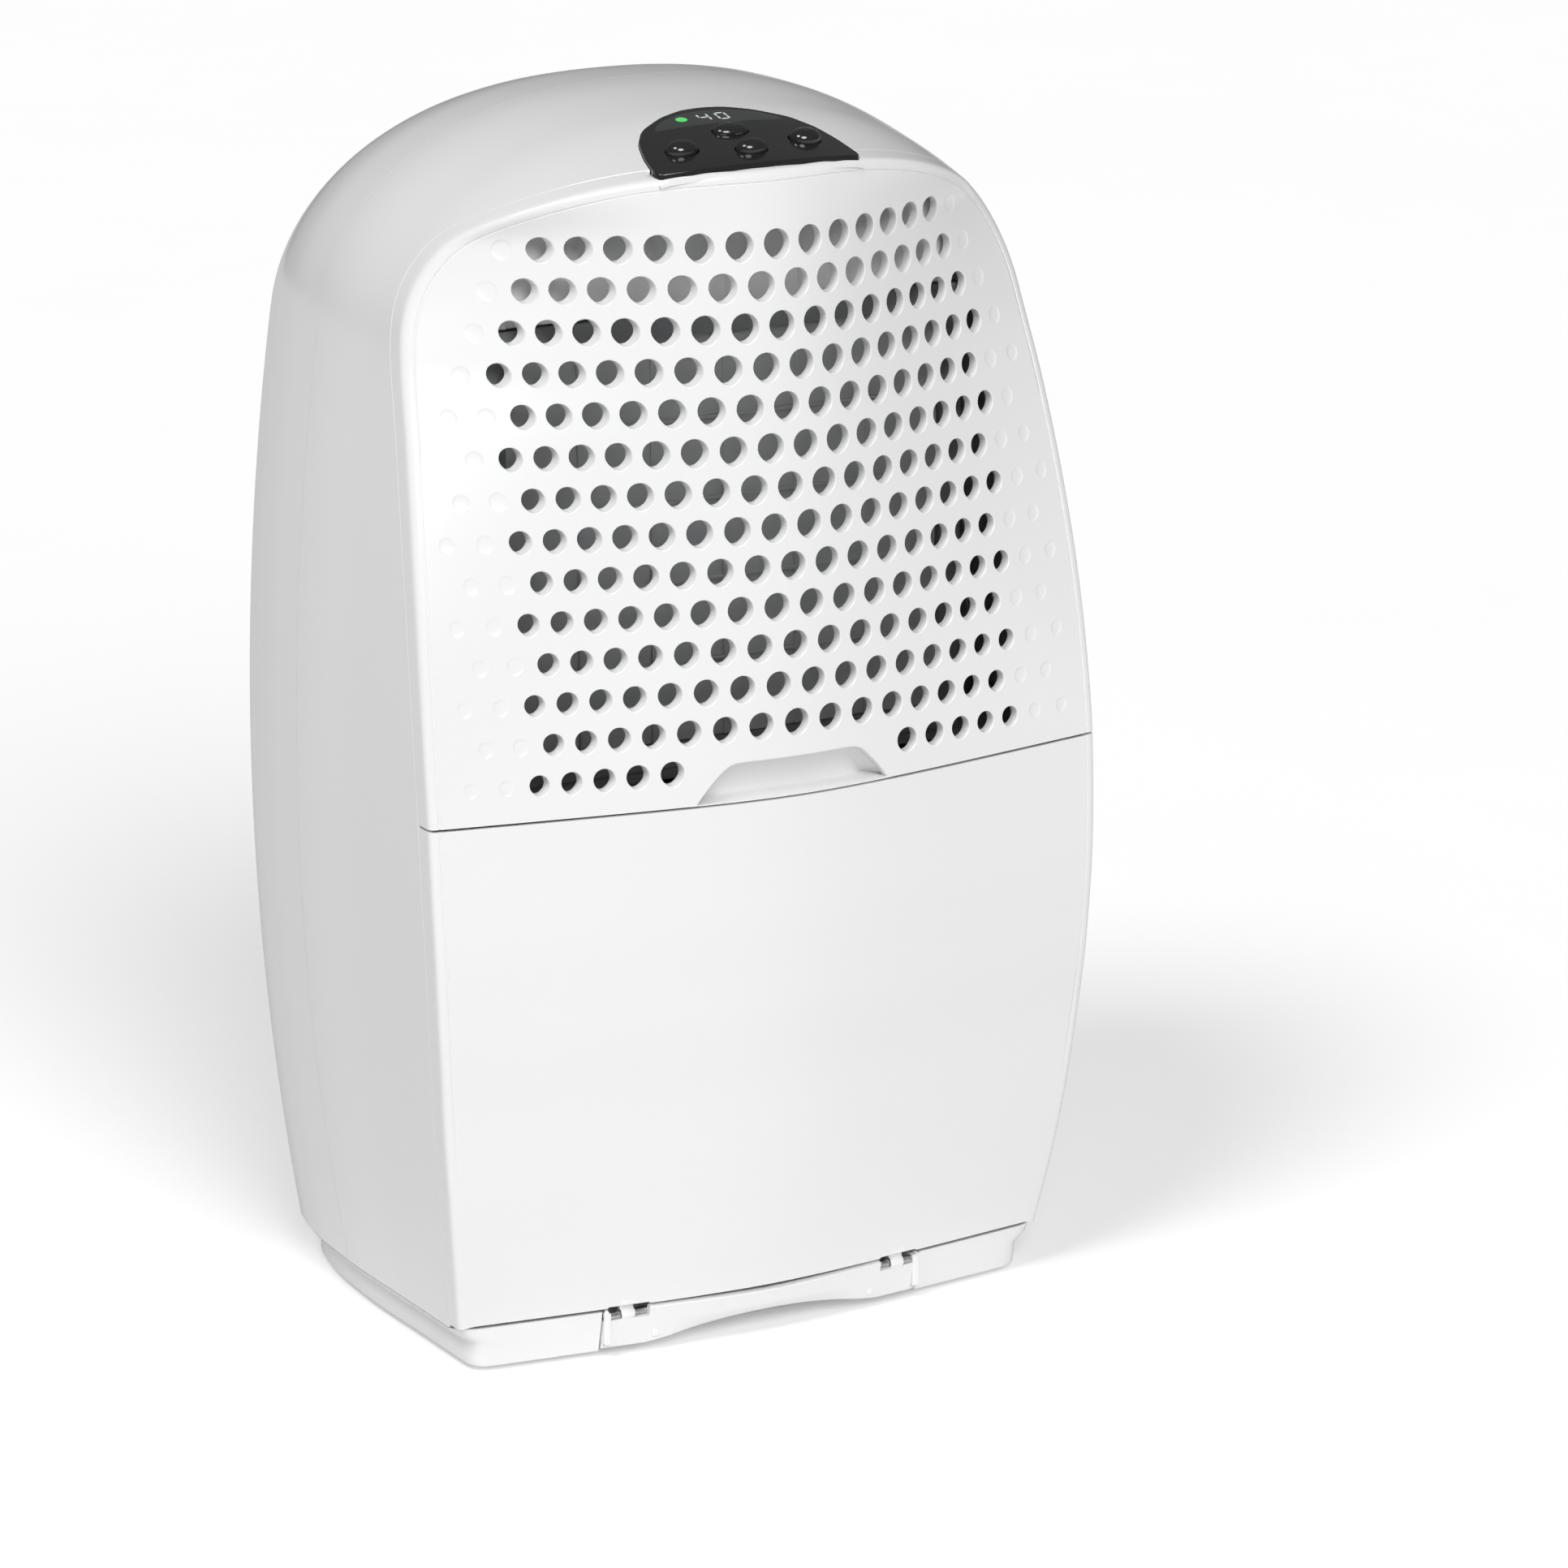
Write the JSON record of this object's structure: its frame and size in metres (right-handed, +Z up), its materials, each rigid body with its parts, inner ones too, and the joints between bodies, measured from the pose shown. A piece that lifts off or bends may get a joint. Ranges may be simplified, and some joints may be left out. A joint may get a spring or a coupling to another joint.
{
  "type": "dehumidifier",
  "caption": "Domed upright dehumidifier with a perforated grille over a tilting tank door, a sloping control panel on top and a compressor, coils and fan inside.",
  "frame": {"origin": "centre of the bounding box's base, on the floor under the feet", "axes": "+Z up, -Y towards the front grille, +X to the right seen from the front with the front facing the viewer"},
  "size_m": [0.3338, 0.24, 0.538],
  "materials": {
    "white_plastic": "satin gloss, moulded",
    "black_gloss": "high gloss, moulded",
    "display_glass": "smoked, polished",
    "clear_plastic": "milky translucent",
    "grey_plastic": "moulded",
    "black_plastic": "moulded",
    "circuit_board": "lacquered",
    "aluminium_fins": "thin folded fins",
    "steel": "plated",
    "black_enamel": "baked enamel",
    "copper": "drawn copper tube",
    "rubber": "moulded"
  },
  "bodies": {
    "cabinet": {"base_tray": "white_plastic", "toe_bar": "white_plastic", "front_housing": "white_plastic", "rear_cover": "white_plastic", "front_grille": "white_plastic", "grip_cup": "white_plastic", "outlet_grille": "white_plastic", "hand_cup": "white_plastic", "control_fascia": "black_gloss", "display_window": "display_glass", "bay_wall": "grey_plastic", "middle_deck": "grey_plastic", "drip_tray": "grey_plastic", "filter_frame": "grey_plastic", "fan_shroud": "grey_plastic", "relay_box": "grey_plastic", "tank_switch": "black_plastic", "filter_mesh": "black_plastic", "cable_gland": "black_plastic", "control_board": "circuit_board", "evaporator": "aluminium_fins", "condenser": "aluminium_fins", "hinge_pin_left": "steel", "hinge_pin_right": "steel", "motor_bracket": "steel", "fan_motor": "steel", "capacitor": "steel", "cover_screw_1": "steel", "cover_screw_2": "steel", "cover_screw_3": "steel", "cover_screw_4": "steel", "compressor": "black_enamel", "discharge_pipe": "copper", "suction_pipe": "copper", "compressor_mount_1": "rubber", "compressor_mount_2": "rubber", "compressor_mount_3": "rubber", "foot_1": "rubber", "foot_2": "rubber", "foot_3": "rubber", "foot_4": "rubber"},
    "tank_unit": {"tank_door": "white_plastic", "water_tank": "clear_plastic", "tank_lid": "clear_plastic"},
    "float": {"tank_float": "grey_plastic"},
    "fan": {"fan_impeller": "grey_plastic"},
    "button_power_body": {"button_power": "black_gloss"},
    "button_fan_speed_body": {"button_fan_speed": "black_gloss"},
    "button_humidity_body": {"button_humidity": "black_gloss"},
    "button_timer_body": {"button_timer": "black_gloss"}
  },
  "joints": [
    {"name": "tank_tilt", "type": "hinge", "parent": "cabinet", "child": "tank_unit", "pos_m": [0, -0.0865, 0.0196], "axis": [1, 0, 0], "range_deg": [0, 12]},
    {"name": "float_swing", "type": "hinge", "parent": "tank_unit", "child": "float", "pos_m": [0.07, -0.022, 0.205], "axis": [0, 1, 0], "range_deg": [0, 14]},
    {"name": "fan_spin", "type": "hinge", "parent": "cabinet", "child": "fan", "pos_m": [0, 0.049, 0.355], "axis": [0, 1, 0], "continuous": true},
    {"name": "button_power_press", "type": "slide", "parent": "cabinet", "child": "button_power_body", "axis": [0, 0.2249, -0.9744], "range_m": [0, 0.0012], "stiffness_N_per_m": 400},
    {"name": "button_fan_speed_press", "type": "slide", "parent": "cabinet", "child": "button_fan_speed_body", "axis": [0, 0.2249, -0.9744], "range_m": [0, 0.0012], "stiffness_N_per_m": 400},
    {"name": "button_humidity_press", "type": "slide", "parent": "cabinet", "child": "button_humidity_body", "axis": [0, 0.2249, -0.9744], "range_m": [0, 0.0012], "stiffness_N_per_m": 400},
    {"name": "button_timer_press", "type": "slide", "parent": "cabinet", "child": "button_timer_body", "axis": [0, 0.2249, -0.9744], "range_m": [0, 0.0012], "stiffness_N_per_m": 400}
  ]
}
